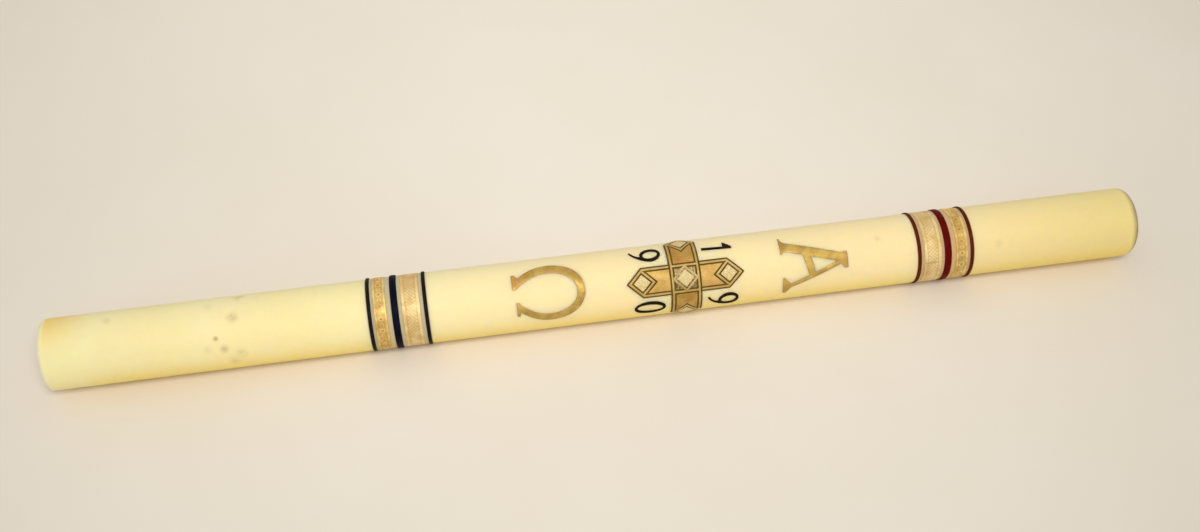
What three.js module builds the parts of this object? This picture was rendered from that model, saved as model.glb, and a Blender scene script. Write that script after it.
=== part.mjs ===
// Paschal candle, lying on its side.
// A turned wax body holds a braided wick. Wax sheet pieces are bonded round it: two sets of
// coloured bands with gold strips, an omega, an alpha, four year numerals and a layered cross.
// Millimetres. The candle is drawn standing along +Y and laid down along +X at the end, with
// its ornament turned up towards the reader, who stands on the -Y side.

import * as THREE from 'three';
import { mergeVertices } from 'three/addons/utils/BufferGeometryUtils.js';

// Wax body
const bodyRadius = 32.5;
const facetCount = 48;
const footChamfer = 2.5;
const shoulderRadius = 8;
const shoulderSteps = 6;
const poolRadius = 22;
const poolDepth = 4;
const poolSteps = 6;

// Wick, with its channel through the wax and its stub above the melt pool
const wickRadius = 2.2;
const wickSides = 10;
const wickClearance = 0.3;
const wickStub = 11;
const wickLean = 1.6;
const wickSteps = 10;
const wickTaperStart = 0.5;
const wickTipShare = 0.5;

// Plain wax between the ornaments, from the foot up
const plainFoot = 286.5;
const blueToOmega = 76.5;
const omegaToCross = 37.4;
const crossToAlpha = 35.2;
const alphaToRed = 66.2;
const plainTop = 162.5;

// Wax sheet: the bond under each piece and the thicknesses of the sheets
const bond = 0.3;
const lineThickness = 0.9;
const lineChamfer = 0.45;
const goldStripThickness = 0.5;
const letterThickness = 0.6;
const seamGap = 0.4;
const cleanSeamTurn = THREE.MathUtils.degToRad(215);
const redGoldSeamTurn = THREE.MathUtils.degToRad(66);

// Band sets, from the foot up. Blue: line, narrow gold strip, band, wide gold strip, line.
// Red: the same kinds of strip in the opposite order.
const lineWidth = 3.4;
const narrowGoldWidth = 11;
const wideGoldWidth = 16;
const blueBandWidth = 6.2;
const redBandWidth = 6.6;
const lineToNarrowGap = 2.5;
const narrowToBandGap = 4.5;
const blueWideGap = 3.3;
const redWideGap = 3;

// The ornament's middle line, turned from straight up towards the reader
const ornamentTurn = THREE.MathUtils.degToRad(40.2);

// Omega
const omegaHeight = 65.3;
const omegaWidth = 54.6;
const omegaShift = -2.1;
const omegaWidestHeight = 33;
const omegaLeftStroke = 8.8;
const omegaRightStroke = 7.4;
const omegaTopStroke = 7.2;
const omegaNeckHeight = 5.8;
const omegaNeckInside = 8;
const omegaFootInside = 5.7;
const omegaLeftFootOutside = 20.3;
const omegaRightFootOutside = 19.2;
const omegaRightFootRise = 2.2;
const omegaFootSlab = 2.6;
const omegaFlankLean = 0.63;
const omegaFlankRise = 0.33;

// Alpha: each stroke's outer edge runs from its foot to its apex
const alphaHeight = 61.6;
const alphaThickFoot = -23;
const alphaThickApex = -4.4;
const alphaThickStroke = 8.9;
const alphaThickOuterSerif = 4.4;
const alphaThickInnerSerif = 4;
const alphaThickBracket = 7;
const alphaThinFoot = 25.4;
const alphaThinApex = 2;
const alphaThinStroke = 4.4;
const alphaThinOuterSerif = 3.3;
const alphaThinInnerSerif = 9.5;
const alphaThinBracket = 7.5;
const alphaSerifSlab = 1.6;
const alphaHeelSlab = 3;
const alphaBarLeftFoot = 20;
const alphaBarLeftTop = 27.8;
const alphaBarRightFoot = 24.8;
const alphaBarRightTop = 31.2;
const alphaCapLeft = -6.8;
const alphaCapRight = 8.6;
const alphaCapSlab = 1.8;
const alphaCapHeel = 3.8;
const alphaCapBracket = 6.5;

// Cross: pointed bars of equal width, with a lozenge at each end and one over the crossing
const crossHalfWidth = 14.4;
const crossLozengeDistance = 40;
const outlineWidth = 1.5;
const borderWidth = 1.8;
const backingThickness = 0.35;
const layerGap = 0.15;
const inlayThickness = 0.4;

// Numerals, one in each quarter of the cross, drawn from their own middles
const numeralHeight = 29;
const numeralWidth = 16;
const numeralMargin = 5;
const numeralThick = 3.8;
const numeralThin = 2.7;
const zeroShift = -0.9;
const zeroSlant = THREE.MathUtils.degToRad(-4);
const nineLean = THREE.MathUtils.degToRad(8);
const nineBowlShare = 0.66;
const nineBowlRun = 1.5 * Math.PI;
const nineSideBend = 6;
const nineInnerBendX = 0.45;
const nineInnerBendRise = 4.6;
const nineOuterBendX = 2.2;
const nineOuterBendRise = 2.3;
const nineTailReach = 5.9;
const nineTailSlab = 1.3;
const oneFoot = -15.3;
const oneTop = 12.4;
const oneFootLeft = -0.5;
const oneFootRight = 2.6;
const oneHeadLeft = 1.2;
const oneHeadRight = 3.8;
const oneFlagTip = -4.7;
const oneFlagTop = 5.8;
const oneFlagSlab = 1.1;
const oneFlagRoot = 4.4;

// Steps along the curves of the letters and of the numerals, and the merging distance
const letterCurveSteps = 8;
const numeralCurveSteps = 6;
const mergeDistance = 1e-5;

// Sizes that follow from the ones above
const facetTurn = 2 * Math.PI / facetCount;
const channelRadius = wickRadius + wickClearance;
const crossReach = crossLozengeDistance + crossHalfWidth;
const setHeight = 2 * lineWidth + narrowGoldWidth + wideGoldWidth + lineToNarrowGap + narrowToBandGap;
const blueSetHeight = setHeight + blueBandWidth + 2 * blueWideGap;
const redSetHeight = setHeight + redBandWidth + 2 * redWideGap;
const omegaFoot = plainFoot + blueSetHeight + blueToOmega;
const crossCentre = omegaFoot + omegaHeight + omegaToCross + crossReach;
const alphaFoot = crossCentre + crossReach + crossToAlpha;
const redSetFoot = alphaFoot + alphaHeight + alphaToRed;
const bodyLength = redSetFoot + redSetHeight + plainTop;
const wickLength = bodyLength - poolDepth + wickStub;
const bandRadius = bodyRadius + bond + lineThickness;
const restHeight = bandRadius * Math.cos(facetTurn / 2);
const inlayLift = bond + backingThickness + layerGap;
const centreLozengeLift = inlayLift + inlayThickness + layerGap;

const ivoryWax = sheetMaterial(0xf2e2a8, 0.55, 0);
const cottonWick = sheetMaterial(0xcfc4a4, 0.9, 0);
const navyWax = sheetMaterial(0x161a3c, 0.5, 0);
const crimsonWax = sheetMaterial(0x6a0f14, 0.5, 0);
const darkRedWax = sheetMaterial(0x3c1410, 0.5, 0);
const goldSheet = sheetMaterial(0xd9b45e, 0.4, 0.6);
const ochreSheet = sheetMaterial(0xb28f3c, 0.45, 0.5);
const bronzeSheet = sheetMaterial(0x96742f, 0.45, 0.5);
const paleGoldSheet = sheetMaterial(0xdcc684, 0.45, 0.5);
const outlineWax = sheetMaterial(0x4f3d1c, 0.6, 0);
const mosaicSheet = sheetMaterial(0x9a8f6c, 0.5, 0.4);
const creamSheet = sheetMaterial(0xf0e3ba, 0.6, 0);
const blackWax = sheetMaterial(0x1b1712, 0.55, 0);

function sheetMaterial(color, roughness, metalness) {
  return new THREE.MeshStandardMaterial({ color, roughness, metalness, flatShading: true });
}

// One closed solid from a geometry: only positions are kept and shared corners are merged
function solid(geometry, name, material) {
  geometry.deleteAttribute('normal');
  geometry.deleteAttribute('uv');
  const mesh = new THREE.Mesh(mergeVertices(geometry, mergeDistance), material);
  mesh.name = name;
  return mesh;
}

// Cuts a flat convex polygon at the line x = fold and returns the one or two parts
function cutAtFold(polygon, fold) {
  const sides = polygon.map((corner) => {
    const distance = corner.x - fold;
    return Math.abs(distance) < mergeDistance ? 0 : Math.sign(distance);
  });
  if (!sides.includes(-1) || !sides.includes(1)) return [polygon];
  const left = [];
  const right = [];
  polygon.forEach((corner, index) => {
    const nextIndex = (index + 1) % polygon.length;
    const side = sides[index];
    if (side <= 0) left.push(corner);
    if (side >= 0) right.push(corner);
    if (side * sides[nextIndex] < 0) {
      const next = polygon[nextIndex];
      const [low, high] = corner.x < next.x ? [corner, next] : [next, corner];
      const cut = low.clone().lerp(high, (fold - low.x) / (high.x - low.x));
      cut.x = fold;
      left.push(cut);
      right.push(cut);
    }
  });
  return [left, right];
}

// Point on the candle's facets: a turn round the axis, at a radius measured at the facet edges
function pointOnFacets(turn, radius, height) {
  const facet = Math.floor(turn / facetTurn - 0.5);
  const edgeTurn = (facet + 0.5) * facetTurn;
  const share = (turn - edgeTurn) / facetTurn;
  const x = THREE.MathUtils.lerp(Math.sin(edgeTurn), Math.sin(edgeTurn + facetTurn), share);
  const z = THREE.MathUtils.lerp(Math.cos(edgeTurn), Math.cos(edgeTurn + facetTurn), share);
  return new THREE.Vector3(x * radius, height, z * radius);
}

// Wraps a flat piece round the candle. In the flat piece x runs to the reader's right, y runs
// up the candle and z runs out from the wax. It is creased where the candle's facets meet.
function wrap(flat, turn, height, lift) {
  const positions = (flat.index ? flat.toNonIndexed() : flat).getAttribute('position');
  let polygons = [];
  for (let corner = 0; corner < positions.count; corner += 3) {
    polygons.push([0, 1, 2].map((step) => (
      new THREE.Vector3().fromBufferAttribute(positions, corner + step)
    )));
  }
  flat.computeBoundingBox();
  const firstFold = Math.ceil((turn + flat.boundingBox.min.x / bodyRadius) / facetTurn - 0.5);
  const lastFold = Math.floor((turn + flat.boundingBox.max.x / bodyRadius) / facetTurn - 0.5);
  for (let fold = firstFold; fold <= lastFold; fold += 1) {
    const foldX = ((fold + 0.5) * facetTurn - turn) * bodyRadius;
    polygons = polygons.flatMap((polygon) => cutAtFold(polygon, foldX));
  }
  const corners = [];
  for (const polygon of polygons) {
    const bent = polygon.map((corner) => pointOnFacets(
      turn + corner.x / bodyRadius,
      bodyRadius + lift + corner.z,
      height + corner.y,
    ));
    for (let step = 1; step + 1 < bent.length; step += 1) {
      corners.push(bent[0], bent[step], bent[step + 1]);
    }
  }
  return new THREE.BufferGeometry().setFromPoints(corners);
}

// Flat sheet of a drawn outline, with its back on z = 0
function sheet(shape, thickness, curveSegments = letterCurveSteps) {
  return new THREE.ExtrudeGeometry(shape, { depth: thickness, bevelEnabled: false, curveSegments });
}

function outline(points) {
  return new THREE.Shape(points.map(([x, y]) => new THREE.Vector2(x, y)));
}

// Strip that goes once round the candle and butts at its seam. Its section, drawn by
// [height, thickness] points, is repeated at every facet edge that the strip crosses.
function roundStrip(section, foot, seamTurn) {
  const start = seamTurn + seamGap / 2 / bodyRadius;
  const end = seamTurn + 2 * Math.PI - seamGap / 2 / bodyRadius;
  const turns = [start];
  for (let edge = Math.floor(start / facetTurn + 0.5); turns.at(-1) < end; edge += 1) {
    turns.push(Math.min((edge + 0.5) * facetTurn, end));
  }
  const corners = turns.flatMap((turn) => section.map(([rise, thickness]) => (
    pointOnFacets(turn, bodyRadius + bond + thickness, foot + rise)
  )));
  const triangles = [];
  for (let ring = 0; ring + 1 < turns.length; ring += 1) {
    section.forEach((point, index) => {
      const next = (index + 1) % section.length;
      const near = [ring * section.length + index, ring * section.length + next];
      const far = near.map((corner) => corner + section.length);
      triangles.push(near[0], near[1], far[1], near[0], far[1], far[0]);
    });
  }
  const lastRing = corners.length - section.length;
  const sectionOutline = section.map(([rise, thickness]) => new THREE.Vector2(rise, thickness));
  for (const [a, b, c] of THREE.ShapeUtils.triangulateShape(sectionOutline, [])) {
    triangles.push(a, c, b, lastRing + a, lastRing + b, lastRing + c);
  }
  return new THREE.BufferGeometry().setFromPoints(corners).setIndex(triangles);
}

function chamferedSection(width) {
  const shoulder = lineThickness - lineChamfer;
  return [
    [0, 0], [width, 0], [width, shoulder], [width - lineChamfer, lineThickness],
    [lineChamfer, lineThickness], [0, shoulder],
  ];
}

function flatSection(width) {
  return [[0, 0], [width, 0], [width, goldStripThickness], [0, goldStripThickness]];
}

// Wax body: chamfered foot, rounded shoulder, a shallow melt pool and the wick's channel
function waxBody() {
  const profile = [
    new THREE.Vector2(channelRadius, 0),
    new THREE.Vector2(bodyRadius - footChamfer, 0),
    new THREE.Vector2(bodyRadius, footChamfer),
  ];
  for (let step = 0; step <= shoulderSteps; step += 1) {
    const turn = step / shoulderSteps * Math.PI / 2;
    profile.push(new THREE.Vector2(
      bodyRadius - shoulderRadius + shoulderRadius * Math.cos(turn),
      bodyLength - shoulderRadius + shoulderRadius * Math.sin(turn),
    ));
  }
  for (let step = 0; step <= poolSteps; step += 1) {
    const share = step / poolSteps;
    profile.push(new THREE.Vector2(
      THREE.MathUtils.lerp(poolRadius, channelRadius, share),
      bodyLength - poolDepth * (1 - Math.cos(share * Math.PI)) / 2,
    ));
  }
  profile.push(profile[0].clone());
  return solid(new THREE.LatheGeometry(profile, facetCount, facetTurn / 2), 'wax_body', ivoryWax);
}

// Wick: straight through the channel, with a rounded stub that leans a little
function wick() {
  const stubFoot = bodyLength - poolDepth;
  const profile = [new THREE.Vector2(0, 0), new THREE.Vector2(wickRadius, 0)];
  for (let step = 0; step <= wickSteps; step += 1) {
    const share = step / wickSteps;
    const tapering = Math.max(0, share - wickTaperStart) / (1 - wickTaperStart);
    const taper = Math.sqrt(1 - (1 - wickTipShare ** 2) * tapering ** 2);
    profile.push(new THREE.Vector2(wickRadius * taper, stubFoot + wickStub * share));
  }
  profile.push(new THREE.Vector2(0, wickLength));
  const geometry = new THREE.LatheGeometry(profile, wickSides);
  const position = geometry.getAttribute('position');
  for (let corner = 0; corner < position.count; corner += 1) {
    const rise = Math.max(0, position.getY(corner) - stubFoot) / wickStub;
    position.setZ(corner, position.getZ(corner) - wickLean * rise ** 2);
  }
  return solid(geometry, 'wick', cottonWick);
}

// Omega: an open bowl, thick at its sides, on two slab feet
function omegaShape() {
  const outside = omegaWidth / 2;
  const insideLeft = -outside + omegaLeftStroke;
  const insideRight = outside - omegaRightStroke;
  const bowlRise = omegaHeight - omegaWidestHeight;
  const rise = omegaWidestHeight - omegaNeckHeight;
  const shape = new THREE.Shape();
  const flankUp = (fromX, toX) => {
    shape.bezierCurveTo(
      fromX + omegaFlankLean * (toX - fromX),
      omegaNeckHeight + omegaFlankRise * rise,
      toX,
      omegaNeckHeight + omegaFlankLean * rise,
      toX,
      omegaWidestHeight,
    );
  };
  const flankDown = (fromX, toX) => {
    shape.bezierCurveTo(
      fromX,
      omegaNeckHeight + omegaFlankLean * rise,
      toX + omegaFlankLean * (fromX - toX),
      omegaNeckHeight + omegaFlankRise * rise,
      toX,
      omegaNeckHeight,
    );
  };
  shape.moveTo(-omegaLeftFootOutside, 0);
  shape.lineTo(-omegaFootInside, 0);
  shape.lineTo(-omegaFootInside, omegaFootSlab);
  shape.lineTo(-omegaNeckInside, omegaNeckHeight);
  flankUp(-omegaNeckInside, insideLeft);
  shape.absellipse(
    (insideLeft + insideRight) / 2,
    omegaWidestHeight,
    (insideRight - insideLeft) / 2,
    bowlRise - omegaTopStroke,
    Math.PI,
    0,
    true,
  );
  flankDown(insideRight, omegaNeckInside);
  shape.lineTo(omegaFootInside, omegaRightFootRise + omegaFootSlab);
  shape.lineTo(omegaFootInside, omegaRightFootRise);
  shape.lineTo(omegaRightFootOutside, omegaRightFootRise);
  shape.lineTo(omegaRightFootOutside, omegaRightFootRise + omegaFootSlab);
  shape.lineTo(omegaNeckInside + omegaRightStroke, omegaNeckHeight);
  flankUp(omegaNeckInside + omegaRightStroke, outside);
  shape.absellipse(0, omegaWidestHeight, outside, bowlRise, 0, Math.PI, false);
  flankDown(-outside, -omegaNeckInside - omegaLeftStroke);
  shape.lineTo(-omegaLeftFootOutside, omegaFootSlab);
  return shape;
}

// Alpha: a thick left stroke, a thin right one, a wedge-shaped bar and bracketed serifs
function alphaShape() {
  const along = (foot, apex) => (y) => THREE.MathUtils.lerp(foot, apex, y / alphaHeight);
  const thickOutside = along(alphaThickFoot, alphaThickApex);
  const thickInside = along(alphaThickFoot + alphaThickStroke, alphaThickApex + alphaThickStroke);
  const thinOutside = along(alphaThinFoot, alphaThinApex);
  const thinInside = along(alphaThinFoot - alphaThinStroke, alphaThinApex - alphaThinStroke);
  const thickFootLeft = alphaThickFoot - alphaThickOuterSerif;
  const thickFootRight = alphaThickFoot + alphaThickStroke + alphaThickInnerSerif;
  const thinFootLeft = alphaThinFoot - alphaThinStroke - alphaThinInnerSerif;
  const thinFootRight = alphaThinFoot + alphaThinOuterSerif;
  const crotch = alphaHeight * (alphaThinFoot - alphaThinStroke - alphaThickFoot - alphaThickStroke)
    / (alphaThinFoot - alphaThickFoot - alphaThinApex + alphaThickApex);

  const shape = new THREE.Shape();
  shape.moveTo(thickFootLeft, 0);
  shape.lineTo(thickFootRight, 0);
  shape.lineTo(thickFootRight, alphaSerifSlab);
  shape.quadraticCurveTo(
    thickInside(alphaSerifSlab), alphaSerifSlab,
    thickInside(alphaThickBracket), alphaThickBracket,
  );
  shape.lineTo(thickInside(alphaBarLeftFoot), alphaBarLeftFoot);
  shape.lineTo(thinInside(alphaBarRightFoot), alphaBarRightFoot);
  shape.lineTo(thinInside(alphaThinBracket), alphaThinBracket);
  shape.lineTo(thinFootLeft, alphaSerifSlab);
  shape.lineTo(thinFootLeft, 0);
  shape.lineTo(thinFootRight, 0);
  shape.lineTo(thinFootRight, alphaHeelSlab);
  shape.lineTo(thinOutside(alphaThinBracket), alphaThinBracket);
  shape.lineTo(thinOutside(alphaHeight - alphaCapBracket), alphaHeight - alphaCapBracket);
  shape.lineTo(alphaCapRight, alphaHeight - alphaCapHeel);
  shape.lineTo(alphaCapRight, alphaHeight);
  shape.lineTo(alphaCapLeft, alphaHeight);
  shape.lineTo(alphaCapLeft, alphaHeight - alphaCapSlab);
  shape.lineTo(thickOutside(alphaHeight - alphaCapBracket), alphaHeight - alphaCapBracket);
  shape.lineTo(thickOutside(alphaThickBracket), alphaThickBracket);
  shape.quadraticCurveTo(
    thickOutside(alphaSerifSlab), alphaSerifSlab,
    thickFootLeft, alphaSerifSlab,
  );
  const counter = new THREE.Path();
  counter.moveTo(thickInside(alphaBarLeftTop), alphaBarLeftTop);
  counter.lineTo(thinInside(alphaBarRightTop), alphaBarRightTop);
  counter.lineTo(thickInside(crotch), crotch);
  counter.closePath();
  shape.holes.push(counter);
  return shape;
}

// One: a leaning stem with a flag
function oneShape() {
  const rootShare = THREE.MathUtils.inverseLerp(oneFoot, oneTop, oneFlagRoot);
  return outline([
    [oneFootLeft, oneFoot],
    [oneFootRight, oneFoot],
    [oneHeadRight, oneTop],
    [oneHeadLeft, oneTop],
    [oneFlagTip, oneFlagTop],
    [oneFlagTip, oneFlagTop - oneFlagSlab],
    [THREE.MathUtils.lerp(oneFootLeft, oneHeadLeft, rootShare), oneFlagRoot],
  ]);
}

function ovalCounter(centreX, centreY, halfHeight, slant) {
  return new THREE.Path().absellipse(
    centreX, centreY, numeralWidth / 2 - numeralThick, halfHeight - numeralThin,
    0, 2 * Math.PI, true, slant,
  );
}

// Zero: an upright oval whose slanted counter gives it pen-like stress
function zeroShape() {
  const halfHeight = numeralHeight / 2;
  const shape = new THREE.Shape();
  shape.absellipse(zeroShift, 0, numeralWidth / 2, halfHeight, 0, 2 * Math.PI, false);
  shape.holes.push(ovalCounter(zeroShift, 0, halfHeight, zeroSlant));
  return shape;
}

// Nine: a leaning oval bowl whose right side sweeps down into a tail
function nineShape() {
  const halfWidth = numeralWidth / 2;
  const foot = -numeralHeight / 2;
  const bowlHalf = numeralHeight * nineBowlShare / 2;
  const bowlCentre = new THREE.Vector2(0, numeralHeight / 2 - bowlHalf);
  const onBowl = (x, y) => new THREE.Vector2(x, bowlCentre.y + y).rotateAround(bowlCentre, nineLean);
  const side = onBowl(halfWidth, 0);
  const sideBelow = onBowl(halfWidth, -nineSideBend);
  const shape = new THREE.Shape();
  shape.moveTo(side.x, side.y);
  shape.absellipse(0, bowlCentre.y, halfWidth, bowlHalf, 0, nineBowlRun, false, nineLean);
  shape.quadraticCurveTo(
    nineInnerBendX, foot + nineInnerBendRise, -nineTailReach, foot + nineTailSlab,
  );
  shape.lineTo(nineTailSlab - nineTailReach, foot);
  shape.bezierCurveTo(
    nineOuterBendX, foot + nineOuterBendRise, sideBelow.x, sideBelow.y, side.x, side.y,
  );
  shape.holes.push(ovalCounter(0, bowlCentre.y, bowlHalf, nineLean));
  return shape;
}

function lozengePoints(halfDiagonal, centreY = 0) {
  return [
    [halfDiagonal, centreY], [0, centreY + halfDiagonal],
    [-halfDiagonal, centreY], [0, centreY - halfDiagonal],
  ];
}

function hole(points) {
  return new THREE.Path(points.map(([x, y]) => new THREE.Vector2(x, y)));
}

// Cross pieces. A dark backing carries gold borders and inlays with narrow gaps between them,
// so that the backing shows as outlines. Edges set in from a slanted side move by a diagonal.
const diagonal = Math.SQRT2;
const borderOutside = crossHalfWidth - outlineWidth;
const borderInside = borderOutside - borderWidth;
const fillHalfWidth = borderInside - outlineWidth;
const frameHalfDiagonal = crossHalfWidth - outlineWidth * diagonal;
const frameInsideDiagonal = frameHalfDiagonal - borderWidth * diagonal;
const lozengeHalfDiagonal = frameInsideDiagonal - outlineWidth * diagonal;

// Backing: two pointed bars crossing at right angles
function backingShape() {
  const shoulder = crossReach - crossHalfWidth;
  const quarter = [
    [crossHalfWidth, crossHalfWidth], [crossHalfWidth, shoulder], [0, crossReach],
    [-crossHalfWidth, shoulder],
  ];
  const points = [];
  for (let turns = 0; turns < 4; turns += 1) {
    points.push(...quarter.map(([x, y]) => {
      const corner = new THREE.Vector2(x, y).rotateAround(new THREE.Vector2(), turns * Math.PI / 2);
      return [corner.x, corner.y];
    }));
  }
  return outline(points);
}

// Gold border of one upright arm: two side strips and the lozenge frame at its end
function uprightFrameShape() {
  const foot = crossHalfWidth;
  const shoulder = crossLozengeDistance + frameHalfDiagonal - borderOutside;
  const notch = crossLozengeDistance - frameHalfDiagonal;
  const shape = outline([
    [borderOutside, foot], [borderOutside, shoulder],
    [0, crossLozengeDistance + frameHalfDiagonal],
    [-borderOutside, shoulder], [-borderOutside, foot], [-borderInside, foot],
    [-borderInside, notch + borderInside], [0, notch], [borderInside, notch + borderInside],
    [borderInside, foot],
  ]);
  shape.holes.push(hole(lozengePoints(frameInsideDiagonal, crossLozengeDistance)));
  return shape;
}

// Gold border of the crossbar, in one piece from tip to tip, open over the crossing
function crossbarFrameShape() {
  const shoulder = crossLozengeDistance + frameHalfDiagonal - borderOutside;
  const tip = crossLozengeDistance + frameHalfDiagonal;
  const notch = crossLozengeDistance - frameHalfDiagonal;
  const shape = outline([
    [borderOutside, -shoulder], [borderOutside, shoulder], [0, tip],
    [-borderOutside, shoulder], [-borderOutside, -shoulder], [0, -tip],
  ]);
  const window = [
    [borderInside, borderOutside], [borderInside, notch + borderInside], [0, notch],
    [-borderInside, notch + borderInside], [-borderInside, borderOutside],
  ];
  shape.holes.push(
    hole([
      [borderInside, borderInside], [-borderInside, borderInside],
      [-borderInside, -borderInside], [borderInside, -borderInside],
    ]),
    hole(window),
    hole(window.map(([x, y]) => [-x, -y])),
    hole(lozengePoints(frameInsideDiagonal, crossLozengeDistance)),
    hole(lozengePoints(frameInsideDiagonal, -crossLozengeDistance)),
  );
  return shape;
}

// Inlaid fill of one arm, notched for the lozenge frame
function armFillShape() {
  const foot = crossHalfWidth;
  const notch = crossLozengeDistance - crossHalfWidth;
  return outline([
    [-fillHalfWidth, foot], [fillHalfWidth, foot], [fillHalfWidth, notch + fillHalfWidth],
    [0, notch], [-fillHalfWidth, notch + fillHalfWidth],
  ]);
}

function centreLozengeFrameShape() {
  const shape = outline(lozengePoints(frameHalfDiagonal));
  shape.holes.push(hole(lozengePoints(frameInsideDiagonal)));
  return shape;
}

const candle = new THREE.Group();

function addSheet(name, flat, material, height, lift) {
  candle.add(solid(wrap(flat, ornamentTurn, height, lift), name, material));
}

// Places a flat arm piece, drawn pointing up, in one of the cross's four directions
function addArm(name, shape, material, turns) {
  const flat = sheet(shape, inlayThickness).rotateZ(turns * Math.PI / 2);
  addSheet(name, flat, material, crossCentre, inlayLift);
}

// Line, gold strip, band, gold strip, line, stacked up the candle from the set's foot
function addBandSet(prefix, foot, pieces) {
  let height = foot;
  for (const { name, section, width, material, gap, seamTurn } of pieces) {
    const strip = roundStrip(section(width), height, seamTurn);
    candle.add(solid(strip, `${prefix}_${name}`, material));
    height += width + gap;
  }
}

const coloured = (name, width, material, gap) => (
  { name, section: chamferedSection, width, material, gap, seamTurn: cleanSeamTurn }
);
const gold = (name, width, gap, seamTurn) => (
  { name, section: flatSection, width, material: goldSheet, gap, seamTurn }
);

candle.add(waxBody(), wick());

addBandSet('blue', plainFoot, [
  coloured('lower_line', lineWidth, navyWax, lineToNarrowGap),
  gold('lower_gold_strip', narrowGoldWidth, narrowToBandGap, cleanSeamTurn),
  coloured('band', blueBandWidth, navyWax, blueWideGap),
  gold('upper_gold_strip', wideGoldWidth, blueWideGap, cleanSeamTurn),
  coloured('upper_line', lineWidth, navyWax, 0),
]);
addBandSet('red', redSetFoot, [
  coloured('lower_line', lineWidth, darkRedWax, redWideGap),
  gold('lower_gold_strip', wideGoldWidth, redWideGap, redGoldSeamTurn),
  coloured('band', redBandWidth, crimsonWax, narrowToBandGap),
  gold('upper_gold_strip', narrowGoldWidth, lineToNarrowGap, redGoldSeamTurn),
  coloured('upper_line', lineWidth, darkRedWax, 0),
]);

const omegaFlat = sheet(omegaShape(), letterThickness).translate(omegaShift, 0, 0);
addSheet('omega', omegaFlat, ochreSheet, omegaFoot, bond);
addSheet('alpha', sheet(alphaShape(), letterThickness), ochreSheet, alphaFoot, bond);

const quarterX = crossHalfWidth + numeralMargin + numeralWidth / 2;
const quarterY = crossHalfWidth + numeralMargin + numeralHeight / 2;
const numerals = [
  ['numeral_one', oneShape(), -quarterX, quarterY],
  ['numeral_nine_upper', nineShape(), quarterX, quarterY],
  ['numeral_nine_lower', nineShape(), -quarterX, -quarterY],
  ['numeral_zero', zeroShape(), quarterX, -quarterY],
];
for (const [name, shape, x, y] of numerals) {
  const flat = sheet(shape, letterThickness, numeralCurveSteps).translate(x, y, 0);
  addSheet(name, flat, blackWax, crossCentre, bond);
}

addSheet('cross_backing', sheet(backingShape(), backingThickness), outlineWax, crossCentre, bond);
addArm('crossbar_frame', crossbarFrameShape(), paleGoldSheet, 1);
const arms = [
  ['upper', 0], ['left', 1], ['lower', 2], ['right', 3],
];
for (const [side, turns] of arms) {
  const isUpright = turns % 2 === 0;
  if (isUpright) addArm(`upright_frame_${side}`, uprightFrameShape(), paleGoldSheet, turns);
  addArm(
    `${isUpright ? 'upright' : 'crossbar'}_fill_${side}`,
    armFillShape(),
    isUpright ? ochreSheet : bronzeSheet,
    turns,
  );
  const lozenge = outline(lozengePoints(lozengeHalfDiagonal, crossLozengeDistance));
  addArm(`lozenge_${side}`, lozenge, creamSheet, turns);
}

const panelSide = 2 * fillHalfWidth;
const centrePanel = new THREE.BoxGeometry(panelSide, panelSide, inlayThickness)
  .translate(0, 0, inlayThickness / 2);
addSheet('centre_panel', centrePanel, mosaicSheet, crossCentre, inlayLift);
const centreFrame = sheet(centreLozengeFrameShape(), inlayThickness);
addSheet('centre_lozenge_frame', centreFrame, paleGoldSheet, crossCentre, centreLozengeLift);
const centreLozenge = sheet(outline(lozengePoints(lozengeHalfDiagonal)), inlayThickness);
addSheet('centre_lozenge', centreLozenge, creamSheet, crossCentre, centreLozengeLift);

// Laid down along +X, resting on the coloured bands, with the origin under its middle
candle.rotation.z = -Math.PI / 2;
candle.position.set(-wickLength / 2, 0, restHeight);

const model = new THREE.Group();
model.add(candle);

export default model;
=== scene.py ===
"""Paschal candle lying on a pale studio floor.

Every piece is laid out flat, as a candle maker cuts it from wax sheet, and one node tree then
wraps it round the candle. In the flat layout x runs round the candle to the reader's right,
y runs up the candle from its foot and z stands off the wax. Flat work is in millimetres, and
the wrapped pieces are in metres, in the frame's place.
"""

import math

import bmesh
import bpy
from mathutils import Matrix, Vector
from mathutils.geometry import tessellate_polygon


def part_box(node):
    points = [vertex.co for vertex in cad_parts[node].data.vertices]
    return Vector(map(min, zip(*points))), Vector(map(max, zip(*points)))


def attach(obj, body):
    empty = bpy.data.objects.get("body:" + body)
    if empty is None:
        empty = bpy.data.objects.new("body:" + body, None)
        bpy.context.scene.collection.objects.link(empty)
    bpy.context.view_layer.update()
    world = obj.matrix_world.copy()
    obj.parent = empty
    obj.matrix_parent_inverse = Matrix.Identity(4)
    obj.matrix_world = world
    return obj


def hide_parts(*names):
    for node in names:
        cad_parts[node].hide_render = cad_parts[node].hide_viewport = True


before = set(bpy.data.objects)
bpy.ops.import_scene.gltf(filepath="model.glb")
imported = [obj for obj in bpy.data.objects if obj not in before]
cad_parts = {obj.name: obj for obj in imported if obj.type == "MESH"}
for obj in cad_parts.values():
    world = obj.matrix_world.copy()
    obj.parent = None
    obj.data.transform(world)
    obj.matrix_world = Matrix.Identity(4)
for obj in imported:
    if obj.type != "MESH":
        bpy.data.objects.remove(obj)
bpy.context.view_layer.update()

MM = 0.001
whole_turn = 2 * math.pi

# The candle, from the frame
facets = 48
wax_low, wax_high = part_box("wax_body")
wick_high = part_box("wick")[1]
axis_height = (wax_low.z + wax_high.z) / 2
foot = Vector((wax_low.x, 0, axis_height))
wax_radius = (wax_high.z - wax_low.z) / 2 / math.cos(math.pi / facets) / MM
wax_length = (wax_high.x - wax_low.x) / MM
wick_top = (wick_high.x - foot.x) / MM
girth = whole_turn * wax_radius

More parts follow.
